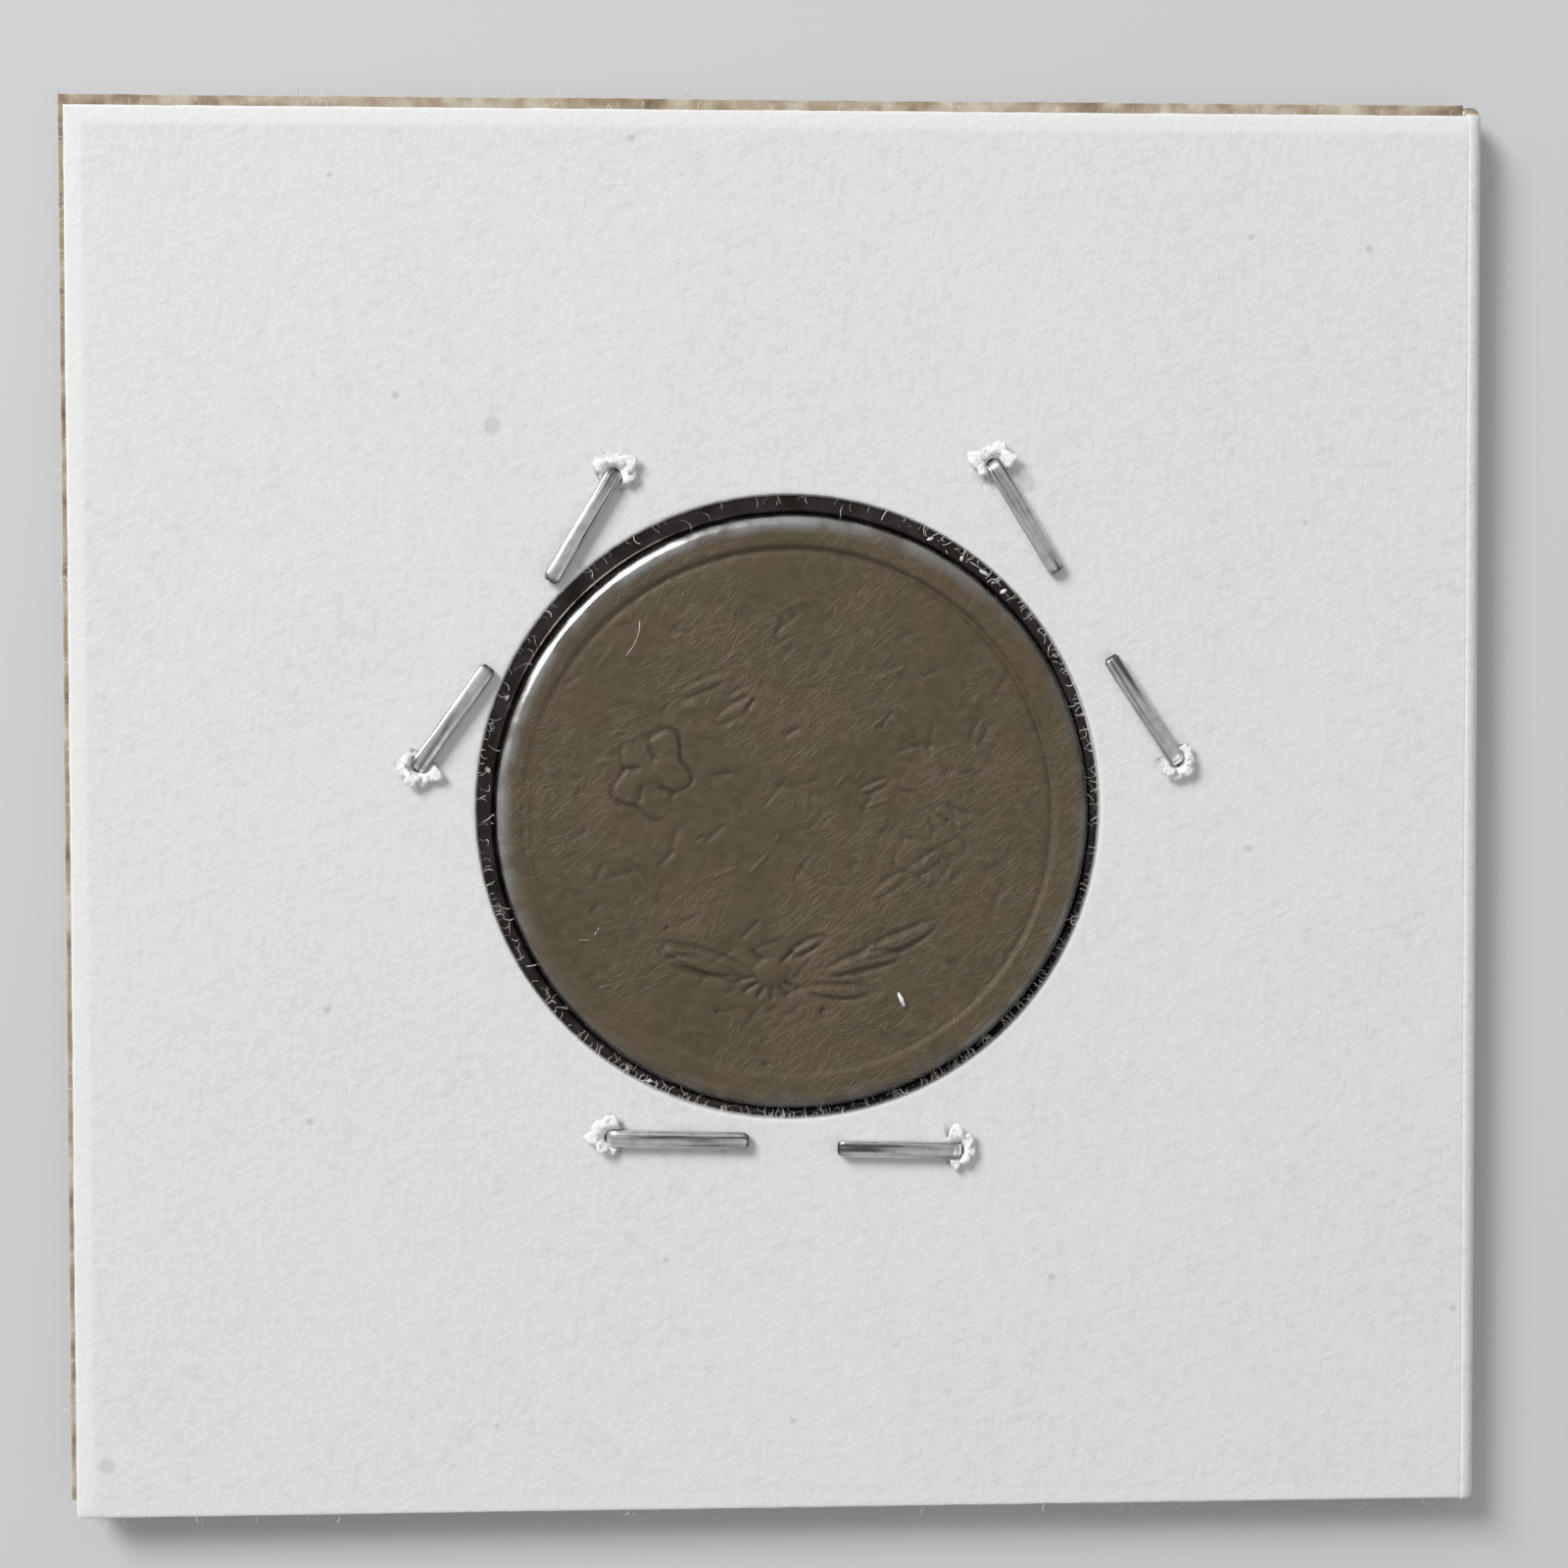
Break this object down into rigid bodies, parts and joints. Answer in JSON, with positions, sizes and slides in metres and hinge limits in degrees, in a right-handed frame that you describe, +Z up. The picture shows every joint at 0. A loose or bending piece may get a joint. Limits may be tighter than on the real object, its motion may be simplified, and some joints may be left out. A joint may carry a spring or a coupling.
{
  "type": "coin holder",
  "caption": "Square folded card holder, stapled shut round a film pocket that shows a worn coin through a round window in each half.",
  "frame": {"origin": "centre of the bounding box's bottom face, with the holder lying on its front face and its clinched staple legs up", "axes": "+Z up out of the back half, +X towards the fold, +Y towards the holder's top edge"},
  "size_m": [0.0508, 0.0506, 0.0021],
  "materials": {
    "card": "matte",
    "film": "gloss",
    "coin_metal": "matte",
    "staple_wire": "satin"
  },
  "bodies": {
    "front_half": {"front_card": "card", "front_film": "film", "fold_crease": "card", "left_staple": "staple_wire", "right_staple": "staple_wire", "bottom_staple": "staple_wire"},
    "back_half": {"back_card": "card", "back_film": "film"},
    "coin": {"coin": "coin_metal"},
    "left_upper_leg": {"left_staple_upper_leg": "staple_wire"},
    "left_lower_leg": {"left_staple_lower_leg": "staple_wire"},
    "right_upper_leg": {"right_staple_upper_leg": "staple_wire"},
    "right_lower_leg": {"right_staple_lower_leg": "staple_wire"},
    "bottom_left_leg": {"bottom_staple_left_leg": "staple_wire"},
    "bottom_right_leg": {"bottom_staple_right_leg": "staple_wire"}
  },
  "joints": [
    {"name": "fold_hinge", "type": "hinge", "parent": "front_half", "child": "back_half", "pos_m": [0.02534, 0, 0.00105], "axis": [0, 1, 0], "range_deg": [0, 175], "deforming": ["fold_crease"]},
    {"name": "coin_turn", "type": "hinge", "parent": "front_half", "child": "coin", "pos_m": [0.0005, -0.00015, 0.00105], "axis": [0, 0, 1], "continuous": true},
    {"name": "left_upper_leg_bend", "type": "hinge", "parent": "front_half", "child": "left_upper_leg", "pos_m": [-0.00583, 0.01184, 0.00185], "axis": [-0.8572, 0.515, 0], "range_deg": [0, 90]},
    {"name": "left_lower_leg_bend", "type": "hinge", "parent": "front_half", "child": "left_lower_leg", "pos_m": [-0.01277, 0.00156, 0.00185], "axis": [0.809, -0.5878, 0], "range_deg": [0, 90]},
    {"name": "right_upper_leg_bend", "type": "hinge", "parent": "front_half", "child": "right_upper_leg", "pos_m": [0.00771, 0.01221, 0.00185], "axis": [-0.8572, -0.515, 0], "range_deg": [0, 90]},
    {"name": "right_lower_leg_bend", "type": "hinge", "parent": "front_half", "child": "right_lower_leg", "pos_m": [0.01429, 0.00169, 0.00185], "axis": [0.8387, 0.5446, 0], "range_deg": [0, 90]},
    {"name": "bottom_left_leg_bend", "type": "hinge", "parent": "front_half", "child": "bottom_left_leg", "pos_m": [-0.00599, -0.01178, 0.00185], "axis": [-0.0262, -0.9997, 0], "range_deg": [0, 90]},
    {"name": "bottom_right_leg_bend", "type": "hinge", "parent": "front_half", "child": "bottom_right_leg", "pos_m": [0.00639, -0.01232, 0.00185], "axis": [0.0262, 0.9997, 0], "range_deg": [0, 90]}
  ]
}
